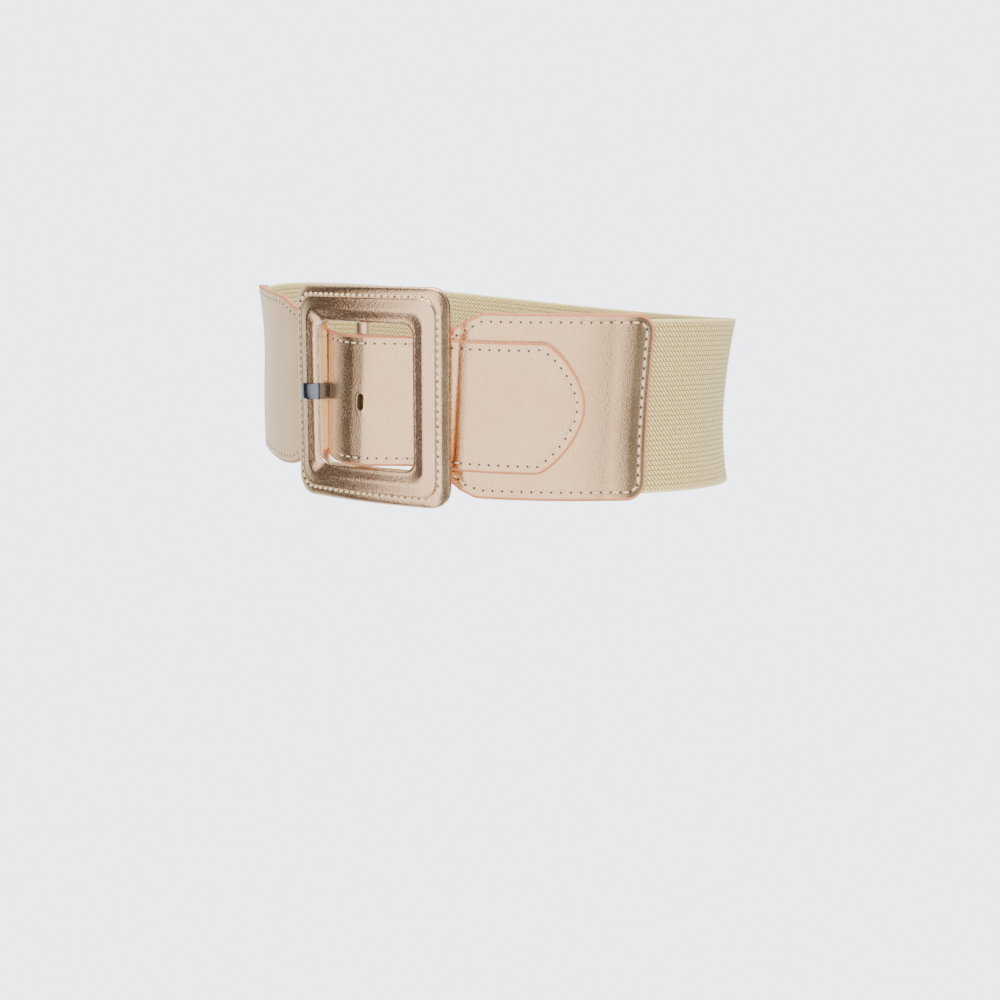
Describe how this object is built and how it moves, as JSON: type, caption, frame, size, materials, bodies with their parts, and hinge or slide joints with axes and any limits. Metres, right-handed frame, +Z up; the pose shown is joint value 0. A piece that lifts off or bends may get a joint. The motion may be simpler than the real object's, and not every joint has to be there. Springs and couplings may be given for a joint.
{
  "type": "elastic stretch belt",
  "caption": "Wide stretch belt closed in a loop: ribbed elastic round the back, two metallic leather panels and a padded centre-bar buckle with one flat prong.",
  "frame": {"origin": "middle of the waist opening, half way up the band", "axes": "+X to the viewer's right of the buckle, -Y out of the buckle's front, +Z up along the wearer's body"},
  "size_m": [0.2317, 0.1773, 0.0914],
  "materials": {
    "elastic": "ribbed woven elastic with a metallic yarn",
    "panel_leather": "metallic rose-gold faux leather, fine pebble grain",
    "buckle_leather": "metallic rose-gold faux leather, fine pebble grain, padded and stitched",
    "bar_metal": "satin",
    "prong_steel": "satin"
  },
  "bodies": {
    "root": {"elastic_band": "elastic", "tongue_panel": "panel_leather", "bar_panel": "panel_leather", "buckle_frame": "buckle_leather", "centre_bar": "bar_metal", "prong": "prong_steel"}
  },
  "joints": []
}
